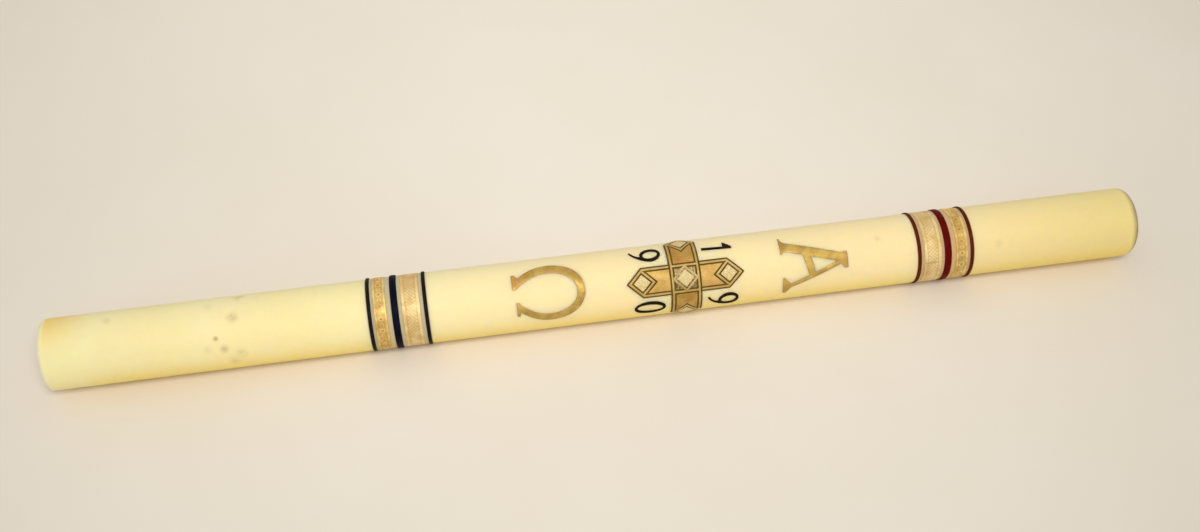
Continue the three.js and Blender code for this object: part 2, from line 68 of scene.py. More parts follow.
# Shape of the wax column
foot_chamfer = 2.5
shoulder_radius = 8
channel_radius = 2
pool_radius = 22
pool_depth = 4
edge_softness = 1
waver = 0.16

# Wick
core_radius = 1.75
stub_radius = 1.4
wick_lean = 1.6

# Thicknesses off the wax. The coloured strips stand as high as the candle's rest allows.
seat = 0.25
rest_clearance = 0.02
strip_height = axis_height / MM - wax_radius - rest_clearance
margin_height = 0.34
ground_sink = 0.16
ground_height = margin_height - ground_sink
letter_height = 0.5
numeral_height = 0.42
backing_height = 0.34
inlay_height = 0.72
border_height = 0.86
panel_height = 0.5
centre_border_height = 1.5
centre_lozenge_height = 1.36
lap = 0.1

# Seams of the strips, and the ornament's middle line, turned from straight up to the reader
seam_gap = 0.4
strip_length = girth - seam_gap
hidden_seam = math.radians(215)
shown_seam = math.radians(66)
ornament_turn = math.radians(40.2)


def up_the_candle(node):
    """Lowest and highest place of a CAD node, in millimetres from the candle's foot."""
    low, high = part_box(node)
    return (low.x - foot.x) / MM, (high.x - foot.x) / MM


def on_the_wax(height, turn_degrees):
    """Place on the wax at a height up the candle, turned from straight up to the reader."""
    turn = math.radians(turn_degrees)
    reach = wax_radius * MM
    return foot + Vector((height * MM, -reach * math.sin(turn), reach * math.cos(turn)))


# Node trees

class Output:
    """Output of a node. A sum made with it adds the nodes that work the sum out."""

    def __init__(self, tree, socket):
        self.tree = tree
        self.socket = socket

    def __add__(self, other):
        return self.tree.number("ADD", self, other)

    def __sub__(self, other):
        return self.tree.number("SUBTRACT", self, other)

    def __rsub__(self, other):
        return self.tree.number("SUBTRACT", other, self)

    def __mul__(self, other):
        return self.tree.number("MULTIPLY", self, other)

    def __truediv__(self, other):
        return self.tree.number("DIVIDE", self, other)

    def __rtruediv__(self, other):
        return self.tree.number("DIVIDE", other, self)

    def ranged(self, low, high, new_low=0.0, new_high=1.0):
        """Number brought from one range to another and kept within it."""
        limits = {"From Min": low, "From Max": high, "To Min": new_low, "To Max": new_high}
        return self.tree.add(
            "ShaderNodeMapRange", {"Value": self, **limits}, interpolation_type="SMOOTHSTEP"
        )


class Tree:
    """Node tree in the making."""

    def __init__(self, node_tree):
        self.node_tree = node_tree

    def set_input(self, socket, value):
        """Gives an input its plain value, or joins an output to it."""
        if isinstance(value, Output):
            self.node_tree.links.new(value.socket, socket)
        else:
            socket.default_value = value

    def node(self, kind, inputs=(), **settings):
        made = self.node_tree.nodes.new(kind)
        for name, value in settings.items():
            setattr(made, name, value)
        for name, value in dict(inputs).items():
            self.set_input(made.inputs[name], value)
        return made

    def outputs(self, kind, inputs=(), **settings):
        """Adds a node and gives all its outputs."""
        return [Output(self, socket) for socket in self.node(kind, inputs, **settings).outputs]

    def add(self, kind, inputs=(), output=0, **settings):
        """Adds a node and gives one of its outputs."""
        return Output(self, self.node(kind, inputs, **settings).outputs[output])

    def number(self, operation, *values):
        """Number worked out from one or two numbers."""
        return self.add("ShaderNodeMath", dict(enumerate(values)), operation=operation)

    def vector(self, x, y, z):
        return self.add("ShaderNodeCombineXYZ", {0: x, 1: y, 2: z})

    def split(self, vector):
        return self.outputs("ShaderNodeSeparateXYZ", {0: vector})

    def noise(self, scale, detail=2.0, roughness=0.5, stretch=(1.0, 1.0, 1.0), place=None):
        """Cloudy number, at the tree's own place or at another."""
        stretched = self.add(
            "ShaderNodeVectorMath", {0: place or self.place, 1: stretch}, operation="MULTIPLY"
        )
        return self.add(
            "ShaderNodeTexNoise",
            {"Vector": stretched, "Scale": scale, "Detail": detail, "Roughness": roughness},
        )


class GeometryTree(Tree):
    """Geometry tree. What it is given comes in this order: geometry, numbers, whole numbers,
    vectors and material."""

    def __init__(self, name, numbers=(), whole_numbers=(), vectors=()):
        super().__init__(bpy.data.node_groups.new(name, "GeometryNodeTree"))
        kinds = {
            "Geometry": ["Geometry"], "Float": numbers, "Int": whole_numbers,
            "Vector": vectors, "Material": ["Material"],
        }
        new_socket = self.node_tree.interface.new_socket
        for kind, names in kinds.items():
            for socket in names:
                new_socket(socket, in_out="INPUT", socket_type=f"NodeSocket{kind}")
        new_socket("Geometry", in_out="OUTPUT", socket_type="NodeSocketGeometry")
        self.given = self.outputs("NodeGroupInput")[:-1]
        self.place = self.add("GeometryNodeInputPosition")

    def end(self, *geometries):
        """Joins the geometries, realizes their copies and gives them their material."""
        realized = self.add("GeometryNodeRealizeInstances", {0: self.joined(*geometries)})
        painted = self.add(
            "GeometryNodeSetMaterial", {"Geometry": realized, "Material": self.given[-1]}
        )
        self.set_input(self.node("NodeGroupOutput").inputs[0], painted)
        return self

    def run_on(self, piece, values):
        """Runs the tree on a piece and keeps what it makes as the piece's plain mesh."""
        modifier = piece.modifiers.new(self.node_tree.name, "NODES")
        modifier.node_group = self.node_tree
        for socket in self.node_tree.interface.items_tree:
            if socket.in_out == "INPUT" and socket.name in values:
                modifier[socket.identifier] = values[socket.name]
        evaluated = piece.evaluated_get(bpy.context.evaluated_depsgraph_get())
        made = bpy.data.meshes.new_from_object(evaluated)
        piece.modifiers.remove(modifier)
        piece.data = made

    def joined(self, *geometries):
        join = self.node("GeometryNodeJoinGeometry")
        for geometry in geometries:
            self.set_input(join.inputs[0], geometry)
        return Output(self, join.outputs[0])

    def moved(self, geometry, offset, turn=0.0):
        return self.add(
            "GeometryNodeTransform",
            {"Geometry": geometry, "Translation": offset, "Rotation": (0.0, 0.0, turn)},
        )

    def scaled(self, geometry, *scale):
        return self.add("GeometryNodeTransform", {"Geometry": geometry, "Scale": scale})

    def copies(self, points, motif, **inputs):
        return self.add(
            "GeometryNodeInstanceOnPoints", {"Points": points, "Instance": motif, **inputs}
        )

    def ellipsoid(self, half_sizes, segments=10, rings=6):
        """Small closed bump."""
        counts = {"Segments": segments, "Rings": rings, "Radius": 1.0}
        return self.scaled(self.add("GeometryNodeMeshUVSphere", counts), *half_sizes)

    def chip(self, foot_radius, top_radius, depth):
        """Four-sided bump with a flat top."""
        return self.add("GeometryNodeMeshCone", {
            "Vertices": 4, "Radius Top": top_radius, "Radius Bottom": foot_radius, "Depth": depth,
        })

    def circle(self, resolution, radius):
        return self.add(
            "GeometryNodeCurvePrimitiveCircle", {"Resolution": resolution, "Radius": radius}
        )

    def tube(self, path, sides, radius, capped=False):
        return self.add("GeometryNodeCurveToMesh", {
            "Curve": path, "Profile Curve": self.circle(sides, radius), "Fill Caps": capped,
        })

    def row_of(self, motif, count, length, y, z):
        """Copies of a motif, evenly spaced along the strip."""
        pitch = length / count
        first = length * -0.5 + pitch * 0.5
        line = self.add("GeometryNodeMeshLine", {
            "Count": count, "Start Location": self.vector(first, y, z),
            "Offset": self.vector(pitch, 0.0, 0.0),
        })
        return self.copies(line, motif)

    def row_by_turns(self, motif, other, count, length, z):
        """Row of one motif, with another halfway between each two."""
        return self.joined(
            self.row_of(motif, count, length, 0.0, z),
            self.row_of(other, count - 1.0, length - length / count, 0.0, z),
        )

    def ring_of(self, motif, count, radius):
        """Copies of a motif round a circle, each turned outwards."""
        circle = self.add("GeometryNodeMeshCircle", {"Vertices": count, "Radius": radius})
        turn = self.add("GeometryNodeInputIndex") * (whole_turn / count)
        return self.copies(circle, motif, Rotation=self.vector(0.0, 0.0, turn))

    def marked(self, geometry, name, value, domain="POINT"):
        """Geometry that carries a number of its own, for its material or the tree to read."""
        return self.add(
            "GeometryNodeStoreNamedAttribute",
            {"Geometry": geometry, "Name": name, "Value": value},
            data_type="FLOAT", domain=domain,
        )

    def worn_ground(self, strip, face, wear):
        """Strip whose sunk ground is marked as a hollow. Its margins and ribs stay bright."""
        ground = self.number("LESS_THAN", self.split(self.place)[2], face + 0.02)
        return self.marked(strip, "hollow", ground * wear)

    def drawn_number(self, seed, low, high):
        """Random number for each copy."""
        return self.add(
            "FunctionNodeRandomValue", {2: low, 3: high, "Seed": seed}, 1, data_type="FLOAT"
        )


def wrapping_tree():
    """Wraps flat work round the candle, and lets it follow the slight waver of the wax."""
    tree = GeometryTree("wrap_round_candle", ("Wax radius", "Turn", "Waver"), (), ("Foot",))
    flat, radius, seam, depth, foot_place, _ = tree.given
    across, up, off = tree.split(tree.place)
    turn = across / radius + seam
    sideways = tree.number("SINE", turn) * -1.0
    upwards = tree.number("COSINE", turn)
    on_wax = tree.vector(up, sideways, upwards)
    loss = tree.noise(1.0, 1.5, 0.4, (0.014, 1.1, 1.1), on_wax) * depth / radius
    reach = (radius + off) * (1.0 - loss)
    wrapped = tree.vector(up, sideways * reach, upwards * reach)
    placed = tree.add(
        "ShaderNodeVectorMath", {0: wrapped, 1: (MM, MM, MM), 2: foot_place},
        operation="MULTIPLY_ADD",
    )
    moved = tree.add("GeometryNodeSetPosition", {"Geometry": flat, "Position": placed})
    return tree.end(
        tree.add("GeometryNodeMergeByDistance", {"Geometry": moved, "Distance": 1e-6})
    )


def shifting_tree():
    """Moves flat work up the candle."""
    tree = GeometryTree("move_up", ("Rise",))
    work, rise, _ = tree.given
    return tree.end(tree.moved(work, tree.vector(0.0, rise, 0.0)))


def rosette_tree():
    """Gold strip pressed with rosettes, each with a sunk eye, pairs of leaves between them and
    beads along its edges."""
    petal, eye, leaf = (1.0, 0.56, 0.36), (1.45, 1.45, 0.12), (1.6, 0.62, 0.34)
    bud, bead = (0.5, 0.5, 0.32), (0.46, 0.4, 0.36)
    petals, petal_ring, eye_ring, wire, flatness = 8, 2.15, 1.5, 0.22, 0.9
    leaf_across, leaf_along, leaf_turn, bead_margin = 0.75, 1.2, math.radians(32), 1.35
    tree = GeometryTree(
        "pressed_rosettes", ("Length", "Width", "Face height"), ("Rosettes", "Beads")
    )
    strip, length, width, face, rosettes, beads, _ = tree.given
    rosette = tree.joined(
        tree.ring_of(tree.ellipsoid(petal), petals, petal_ring),
        tree.scaled(tree.tube(tree.circle(28, eye_ring), 8, wire), 1.0, 1.0, flatness),
        tree.marked(tree.ellipsoid(eye, 14, 5), "hollow", 0.66),
    )
    leaves = [
        tree.moved(
            tree.ellipsoid(leaf), (side * leaf_across, end * leaf_along, 0.0),
            -side * end * leaf_turn,
        )
        for end in (1, -1) for side in (-1, 1)
    ]
    between = tree.joined(*leaves, tree.ellipsoid(bud, 8, 5))
    bead_line = width * 0.5 - bead_margin
    return tree.end(
        tree.worn_ground(strip, face, 0.42),
        tree.row_by_turns(rosette, between, rosettes, length, face),
        *(
            tree.row_of(tree.ellipsoid(bead, 8, 5), beads, length, bead_line * side, face)
            for side in (1.0, -1.0)
        ),
    )


def lattice_tree():
    """Satin strip with a pressed lattice of low lozenges between two bright margins."""
    foot_radius, top_radius, depth, sunk, pitch = 1.5, 0.6, 0.26, 0.04, 3.4
    tree = GeometryTree("pressed_lattice", ("Length", "Width", "Face height"), ("Columns",))
    strip, length, _, face, columns, _ = tree.given
    bump = tree.chip(foot_radius, top_radius, depth)
    column, middle = (
        tree.joined(*(tree.moved(bump, (0.0, place * pitch, -sunk)) for place in places))
        for places in ((-1, 0, 1), (-0.5, 0.5))
    )
    return tree.end(
        tree.worn_ground(strip, face, 0.3),
        tree.row_by_turns(column, middle, columns, length, face),
    )


def stipple_tree():
    """Cream lozenge stippled with small raised dots."""
    tree = GeometryTree("stipple", ("Spacing",), ("Seed",))
    lozenge, spacing, seed, _ = tree.given
    facing = tree.split(tree.add("GeometryNodeInputNormal"))[2]
    points = tree.add(
        "GeometryNodeDistributePointsOnFaces",
        {
            "Mesh": lozenge, "Selection": tree.number("GREATER_THAN", facing, 0.98),
            "Distance Min": spacing, "Density Max": 4.0, "Seed": seed,
        },
        distribute_method="POISSON",
    )
    dot = tree.ellipsoid((0.3, 0.3, 0.13), 8, 5)
    return tree.end(lozenge, tree.copies(points, dot, Scale=tree.drawn_number(seed, 0.75, 1.15)))


def mosaic_tree():
    """Square ground set with small chips, each a little turned, tilted and of its own tone."""
    depth, sunk, foot_share, top_share = 0.32, 0.12, 0.66, 0.84
    tilt, twist = 0.05, 0.09
    tree = GeometryTree("mosaic", ("Side", "Face height"), ("Chips", "Seed"))
    ground, side, face, chips, seed, _ = tree.given
    pitch = side / chips
    span = side - pitch
    grid = tree.add("GeometryNodeMeshGrid", {
        "Size X": span, "Size Y": span, "Vertices X": chips, "Vertices Y": chips,
    })
    foot_radius = pitch * foot_share
    chip = tree.chip(foot_radius, foot_radius * top_share, depth)
    lean = tree.add(
        "FunctionNodeRandomValue",
        {0: (-tilt, -tilt, -twist), 1: (tilt, tilt, twist), "Seed": seed},
        data_type="FLOAT_VECTOR",
    )
    placed = tree.copies(
        tree.moved(grid, tree.vector(0.0, 0.0, face)),
        tree.moved(chip, (0.0, 0.0, -sunk), whole_turn / 8), Rotation=lean,
    )
    tone = tree.drawn_number(seed, 0.0, 1.0)
    return tree.end(ground, tree.marked(placed, "tone", tone, "INSTANCE"))


def braid_tree():
    """Tubular braid: strands that wind both ways and pass over and under each other."""
    steps, narrowing, narrowing_power = 90, 0.45, 9.0
    tree = GeometryTree(
        "wick_braid",
        ("Start", "Length", "Braid radius", "Strand radius", "Turns", "Lean"), ("Pairs",),
    )
    core, start, length, braid_radius, strand_radius, turns, lean, pairs, _ = tree.given
    line = tree.add("GeometryNodeCurvePrimitiveLine", {"End": (0.0, 0.0, 1.0)})
    fine = tree.add("GeometryNodeResampleCurve", {"Curve": line, "Count": steps})
    lines, line_number = tree.outputs(
        "GeometryNodeDuplicateElements", {"Geometry": fine, "Amount": pairs * 2.0},
        domain="SPLINE",
    )
    strands = tree.marked(lines, "strand", line_number, "CURVE")
    strand = tree.add("GeometryNodeInputNamedAttribute", {"Name": "strand"}, data_type="FLOAT")
    share = tree.add("GeometryNodeSplineParameter", output="Factor")
    way = tree.number("MODULO", strand, 2.0) * 2.0 - 1.0
    first = tree.number("FLOOR", strand / 2.0) * (whole_turn / pairs)
    wound = share * (turns * whole_turn)
    turn = first + wound * way
    lift = tree.number("COSINE", wound * pairs) * way * (strand_radius * 0.5)
    squeeze = 1.0 - tree.number("POWER", share, narrowing_power) * narrowing
    reach = (braid_radius + lift) * squeeze
    place = tree.vector(
        start + share * length,
        tree.number("SINE", turn) * reach,
        tree.number("COSINE", turn) * reach - share * share * lean,
    )
    path = tree.add("GeometryNodeSetPosition", {"Geometry": strands, "Position": place})
    return tree.end(core, tree.tube(path, 8, strand_radius, True))


# Flat work

def arc(centre_x, centre_y, half_width, half_height, start, end, steps, slant=0.0):
    """Points along an oval from one turn to another, the slant turning the whole oval."""
    points = []
    for step in range(steps + 1):
        turn = start + (end - start) * step / steps
        point = Vector((half_width * math.cos(turn), half_height * math.sin(turn)))
        point.rotate(Matrix.Rotation(slant, 2))
        points.append(Vector((centre_x, centre_y)) + point)
    return points


def bend(corners, steps=14):
    """Points along the curve that three or four corners draw."""
    points = []
    for step in range(steps + 1):
        row = [Vector(corner) for corner in corners]
        while len(row) > 1:
            row = [near.lerp(far, step / steps) for near, far in zip(row, row[1:])]
        points.append(row[0])
    return points


def loop_of(*parts):
    """One closed loop of points and runs of points, without doubled points."""
    points = []
    for part in parts:
        points += part if isinstance(part, list) else [Vector(part)]
    return [
        point for point, before in zip(points, points[-1:] + points[:-1])
        if (point - before).length > 1e-4
    ]


def sides_of(loop):
    return zip(loop, loop[1:] + loop[:1])


def shifted(loop, x, y):
    return [point + Vector((x, y)) for point in loop]


def wound_round(loop, anticlockwise):
    area = sum(a.x * b.y - b.x * a.y for a, b in sides_of(loop))
    return loop if (area > 0) == anticlockwise else loop[::-1]


def inset(loop, distance):
    """The loop moved to its left by a distance, with mitred corners."""
    moved = []
    for before, here, after in zip(loop[-1:] + loop[:-1], loop, loop[1:] + loop[:1]):
        arriving = (here - before).normalized()
        leaving = (after - here).normalized()
        left = Vector((-arriving.y, arriving.x))
        next_left = Vector((-leaving.y, leaving.x))
        moved.append(here + (left + next_left) * (distance / (1 + left.dot(next_left))))
    return moved


def distance_to_edge(point, loops):
    nearest = math.inf
    for loop in loops:
        for a, b in sides_of(loop):
            along = b - a
            share = max(0, min(1, (point - a).dot(along) / along.length_squared))
            nearest = min(nearest, (point - a - along * share).length)
    return nearest


def crease(work, spacing, axes):
    """Cuts the flat work into narrow bands along its axes, so that it can bend."""
    for axis in axes:
        places = [corner.co[axis] for corner in work.verts]
        normal = Vector((0, 0, 0))
        normal[axis] = 1
        first = math.ceil(min(places) / spacing)
        last = math.floor(max(places) / spacing)
        for band in range(first, last + 1):
            bmesh.ops.bisect_plane(
                work, geom=work.verts[:] + work.edges[:] + work.faces[:], dist=1e-5,
                plane_co=normal * band * spacing, plane_no=normal,
            )


def join_rings(work, near, far):
    """Closes the wall between two rings of as many corners."""
    for here in range(len(near)):
        after = (here + 1) % len(near)
        work.faces.new((near[here], near[after], far[after], far[here]))


def work_of_rings(rings, capped=True):
    """Work with a wall from each ring of points to the next, and closed ends."""
    work = bmesh.new()
    corners = [[work.verts.new(point) for point in ring] for ring in rings]
    for near, far in zip(corners, corners[1:]):
        join_rings(work, near, far)
    if capped:
        work.faces.new(corners[0])
        work.faces.new(corners[-1])
        bmesh.ops.recalc_face_normals(work, faces=work.faces)
    return work


def cut_sheet(
    outline, holes=(), height=0.5, edge=0.2, drop=seat, crown=0.0, crown_width=1.0, spacing=0.9
):
    """Closed sheet of a drawn outline. Its upper edge is rounded over the width of edge, and
    its middle may stand higher than its edges by the crown."""
    loops = [wound_round(outline, True)] + [wound_round(hole, False) for hole in holes]
    edge_steps = 4
    levels = [(0, -drop)]
    for step in range(edge_steps + 1):
        turn = step / edge_steps * math.pi / 2
        levels.append((edge * (1 - math.cos(turn)), height - edge + edge * math.sin(turn)))
    work = bmesh.new()
    rings = [
        [[work.verts.new((*point, level)) for point in inset(loop, distance)] for loop in loops]
        for distance, level in levels
    ]
    for lower, upper in zip(rings, rings[1:]):
        for low, high in zip(lower, upper):
            join_rings(work, low, high)
    flat_edges = set()
    for ring in (rings[0], rings[-1]):
        corners = [corner for loop in ring for corner in loop]
        for triangle in tessellate_polygon([[corner.co for corner in loop] for loop in ring]):
            face = work.faces.new([corners[index] for index in triangle])
            flat_edges.update(face.edges)
    inner = [line for line in flat_edges if line.calc_face_angle(1.0) < 1e-3]
    bmesh.ops.dissolve_limit(work, angle_limit=1e-3, verts=[], edges=inner)
    crease(work, spacing, (0, 1) if crown else (0,))
    if crown:
        for corner in work.verts:
            if corner.co.z > height - edge / 2:
                inside = max(0, distance_to_edge(corner.co.xy, loops) - edge) / crown_width
                corner.co.z += crown * (1 - (1 - min(1, inside)) ** 2)
    bmesh.ops.recalc_face_normals(work, faces=work.faces)
    return work


def strip_sheet(section, steps=288):
    """Flat strip that goes once round the candle, from a section of (y, z) points."""
    return work_of_rings([
        [(strip_length * (step / steps - 0.5), y, z) for y, z in section]
        for step in range(steps + 1)
    ])


def domed_section(width):
    """Strip of soft wax, rounded over from edge to edge."""
    steps, flatness, roundness = 18, 3.2, 0.42
    points = [(width / 2, -seat), (-width / 2, -seat)]
    for step in range(steps + 1):
        across = -math.cos(step / steps * math.pi)
        dome = (1 - abs(across) ** flatness) ** roundness
        points.append((across * width / 2, strip_height * dome))
    return points


def ribbed_section(width, margin_width, rib_height, rib_width):
    """Thin strip: a low rib along each edge, a margin inside it and a sunk ground between."""
    half = width / 2
    step_width, rib_margin, rib_steps, edge_share = 0.2, 0.1, 6, 0.7
    ground = half - margin_width

    def rib(side):
        middle = side * (half - rib_width / 2 - rib_margin)
        turns = [step / rib_steps * math.pi for step in range(rib_steps + 1)]
        return [
            (middle - math.cos(turn) * rib_width / 2, margin_height + rib_height * math.sin(turn))
            for turn in turns
        ]

    return [
        (half, -seat), (-half, -seat), (-half, margin_height * edge_share),
        *rib(-1),
        (-ground - step_width, margin_height), (-ground, ground_height),
        (ground, ground_height), (ground + step_width, margin_height),
        *rib(1),
        (half, margin_height * edge_share),
    ]


def pressed_section(width):
    return ribbed_section(width, 1.9, 0.2, 0.7)


def satin_section(width):
    return ribbed_section(width, 2.7, 0.14, 0.5)


def soft_corner(before, corner, after):
    """Points of a rounded corner of the column's profile."""
    corner = Vector(corner)
    start, end = (
        corner + (Vector(place) - corner).normalized() * edge_softness
        for place in (before, after)
    )
    return bend([start, corner, end], 4)


def column_sheet(columns=168, side_step=5):
    """The wax column as flat work: its profile, repeated side by side right round."""
    shoulder_foot = wax_length - shoulder_radius
    side_foot = foot_chamfer + edge_softness
    inner_rim = (0, wax_radius - foot_chamfer)
    outer_rim = (foot_chamfer, wax_radius)
    profile = [Vector((0, channel_radius))]
    profile += soft_corner((0, channel_radius), inner_rim, outer_rim)
    profile += soft_corner(inner_rim, outer_rim, (shoulder_foot, wax_radius))
    side_steps = round((shoulder_foot - side_foot) / side_step)
    for step in range(1, side_steps):
        height = side_foot + (shoulder_foot - side_foot) * (step / side_steps)
        profile.append(Vector((height, wax_radius)))
    profile += arc(
        shoulder_foot, wax_radius - shoulder_radius, shoulder_radius, shoulder_radius,
        math.pi / 2, 0.0, 12,
    )
    pool_steps = 18
    for step in range(1, pool_steps + 1):
        share = step / pool_steps
        profile.append(Vector((
            wax_length - pool_depth * (1 - math.cos(share * math.pi)) / 2,
            pool_radius + (channel_radius - pool_radius) * share,
        )))
    profile.append(Vector((wax_length / 2, channel_radius)))
    work = work_of_rings([
        [(girth * (column / columns - 0.5), height, radius - wax_radius)
         for height, radius in profile]
        for column in range(columns + 1)
    ], capped=False)
    bmesh.ops.reverse_faces(work, faces=work.faces)
    return work


def wick_core(sides=24):
    """The wick's core, from the candle's foot to just under the stub's tip."""
    stub_foot = wax_length - pool_depth
    stub = wick_top - stub_foot
    foot_inset, lengths, stub_steps, core_share = 0.25, 12, 10, 0.9
    heights = [foot_inset] + [stub_foot * step / lengths for step in range(1, lengths)]
    heights += [stub_foot + stub * core_share * step / stub_steps for step in range(stub_steps + 1)]
    rings = []
    for height in heights:
        lean = wick_lean * (max(0, height - stub_foot) / stub) ** 2
        radius = core_radius if height < stub_foot else stub_radius
        turns = [side / sides * whole_turn for side in range(sides)]
        rings.append([
            (height, radius * math.sin(turn), radius * math.cos(turn) - lean) for turn in turns
        ])
    return work_of_rings(rings)


# Materials. Their colours are given in steps of 255, as in a picture.

def colour(red, green, blue):
    """Linear colour of a picture colour."""
    def linear(step):
        value = step / 255
        return value / 12.92 if value <= 0.04045 else ((value + 0.055) / 1.055) ** 2.4
    return (linear(red), linear(green), linear(blue), 1.0)


class Finish(Tree):
    """Material with a Principled shader, laid out in the object's own coordinates."""

    def __init__(self, name):
        self.material = bpy.data.materials.new(name)
        self.material.use_nodes = True
        super().__init__(self.material.node_tree)
        self.place = self.add("ShaderNodeTexCoord", output="Object")

    def painted(self, tint, *layers):
        """Colour with others laid over it, each by its share."""
        for share, paint in layers:
            first, second = (
                colour(*shade) if isinstance(shade, tuple) else shade for shade in (tint, paint)
            )
            tint = self.add(
                "ShaderNodeMix", {0: share, 6: first, 7: second}, 2, data_type="RGBA"
            )
        return tint

    def attribute(self, name):
        return self.add("ShaderNodeAttribute", output="Fac", attribute_name=name)

    def distance(self, place, middle):
        return self.add(
            "ShaderNodeVectorMath", {0: place, 1: middle}, "Value", operation="DISTANCE"
        )

    def nearness(self, middle, size, strength):
        """Soft round spot: full in its middle and nothing at its size."""
        return self.distance(self.place, middle).ranged(size, 0.0, 0.0, strength)

    def roughness(self, scale, detail, low, high):
        return self.noise(scale, detail).ranged(0.3, 0.7, low, high)

    def shaded(self, values, *bumps):
        """Sets the shader's inputs, adds up its (height, depth in metres) bumps and gives the
        finished material."""
        normal = {}
        for height, depth in bumps:
            inputs = {"Height": height, "Distance": depth, "Strength": 1.0, **normal}
            normal = {"Normal": self.add("ShaderNodeBump", inputs)}
        shader = self.node_tree.nodes["Principled BSDF"]
        for name, value in {**values, **normal}.items():
            self.set_input(shader.inputs[name], value)
        return self.material


# Handling marks on the wax: (place in metres, size in metres, strength)
handling_marks = [
    (on_the_wax(169, 13), 0.0080, 0.45),
    (on_the_wax(153, 44), 0.0036, 0.70),
    (on_the_wax(159, 62), 0.0062, 0.45),
    (on_the_wax(173, 74), 0.0080, 0.26),
    (on_the_wax(174, -31), 0.0080, 0.40),
    (on_the_wax(145, 60), 0.0058, 0.18),
    (on_the_wax(166, 88), 0.0090, 0.26),
    (on_the_wax(147, -14), 0.0060, 0.14),
    (on_the_wax(60, -10), 0.0060, 0.22),
    (on_the_wax(755, 15), 0.0060, 0.18),
    (on_the_wax(868, 48), 0.0065, 0.16),
]

# Painted shade in the wax between the band sets' raised strips, together with dye that they have
# left there: (lowest, highest, colour)
gap_shade_and_dye = [
    (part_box("blue_lower_line")[0].x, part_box("blue_upper_line")[1].x, (188, 160, 116)),
    (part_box("red_lower_line")[0].x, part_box("red_upper_line")[1].x, (212, 138, 76)),
]


def ivory_wax():
    """Ivory wax: cloudy and glowing through, yellower towards its wick, smudged and sooty, with
    painted light and shade.
    """
    finish = Finish("ivory_wax")
    along, sideways, height = finish.split(finish.place)
    from_axis = finish.distance(finish.vector(0.0, sideways, height), (0.0, 0.0, axis_height))
    width = 2 * wax_radius * MM
    top = foot.x + wax_length * MM
    cloud = finish.noise(9.0, 4.0, 0.55).ranged(0.32, 0.7)
    bloom = finish.noise(70.0, 5.0, 0.6).ranged(0.35, 0.75)
    honeyed = along.ranged(-0.25, -0.02, 0.0, 0.6)
    yellowed = along.ranged(0.26, 0.5, 0.0, 0.9)
    # Painted shade: the candle's lower side is a deeper, more saturated yellow.
    lower_side_shade = height.ranged(0.75 * width, 0.22 * width, 0.0, 0.85)
    # Painted shade along the underside, where the candle lies on the floor.
    contact_shade = height.ranged(0.36 * width, 0.1 * width, 0.0, 0.5)
    # Painted light: the foot end is made lighter.
    painted_foot_light = along.ranged(foot.x + 0.07, foot.x, 0.0, 0.8)
    # Painted shade on the far side of the foot end.
    foot_far_shade = finish.nearness(on_the_wax(6, -38), 0.05, 0.85)
    # Painted shade between the band sets' raised strips, together with their dye in the wax.
    dyed_and_shaded_gaps = [
        (along.ranged(low - MM, low, 0.0, 0.6) * along.ranged(high, high + MM, 1.0, 0.0), dye)
        for low, high, dye in gap_shade_and_dye
    ]
    # Painted highlight on the foot's bevel.
    foot_bevel_highlight = along.ranged(foot.x + 0.0065, foot.x + 0.001, 0.0, 0.95)
    blotch = finish.noise(150.0, 3.0, 0.55).ranged(0.3, 0.6, 0.35, 1.0)
    smudged = [(finish.nearness(*mark) * blotch, (160, 142, 64)) for mark in handling_marks]
    # Sooty wax at the wick; on the rim, sooty wax together with painted shade where the shoulder
    # turns away from the light.
    soot_and_shade_band = along.ranged(top - 0.0095, top - 0.0015, 0.0, 0.9)
    smoky = finish.noise(120.0, 4.0).ranged(0.3, 0.7, 0.8, 1.0)
    rim_shade_and_soot = from_axis.ranged(0.012, 0.024, 0.12, 1.0)
    at_wick = from_axis.ranged(0.008, 0.002, 0.0, 0.7)
    soot_and_rim_shade = soot_and_shade_band * (smoky * finish.number("MAXIMUM", rim_shade_and_soot, at_wick))
    tint = finish.painted(
        (248, 233, 180),
        (cloud, (246, 229, 170)),
        (bloom * 0.15, (250, 239, 192)),
        (honeyed, (246, 220, 170)),
        (yellowed, (234, 215, 143)),
        (lower_side_shade, (246, 216, 98)),
        (contact_shade, (246, 212, 84)),
        (painted_foot_light, (255, 237, 180)),
        (foot_far_shade, (240, 206, 108)),
        *dyed_and_shaded_gaps,
        (foot_bevel_highlight, (255, 236, 196)),
        *smudged,
        (soot_and_rim_shade, (120, 106, 62)),
    )
    turned = finish.noise(1300.0, place=finish.vector(from_axis, 0.0, 0.0))
    return finish.shaded(
        {
            "Base Color": tint,
            "Roughness": finish.roughness(60.0, 4.0, 0.58, 0.72),
            "Subsurface Weight": 1.0,
            "Subsurface Radius": (1.0, 0.8, 0.2),
            "Subsurface Scale": 0.010,
            "IOR": 1.5,
            "Specular IOR Level": 0.45,
        },
        (finish.noise(1.0, 3.0, 0.5, (14.0, 520.0, 520.0)), 0.00004),
        (finish.noise(900.0, 3.0, 0.6), 0.00003),
        (finish.noise(38.0), 0.00025),
        (turned, 0.00008),
    )


def dyed_wax(name, deep, light):
    """Dyed wax sheet, slightly mottled, with a fingertip's dents."""
    finish = Finish(name)
    mottle = finish.noise(130.0, 4.0, 0.6).ranged(0.35, 0.7)
    return finish.shaded(
        {
            "Base Color": finish.painted(deep, (mottle, light)),
            "Roughness": finish.roughness(300.0, 3.0, 0.43, 0.63),
            "Specular IOR Level": 0.05,
        },
        (finish.noise(1500.0), 0.00002),
        (finish.noise(210.0), 0.00012),
    )


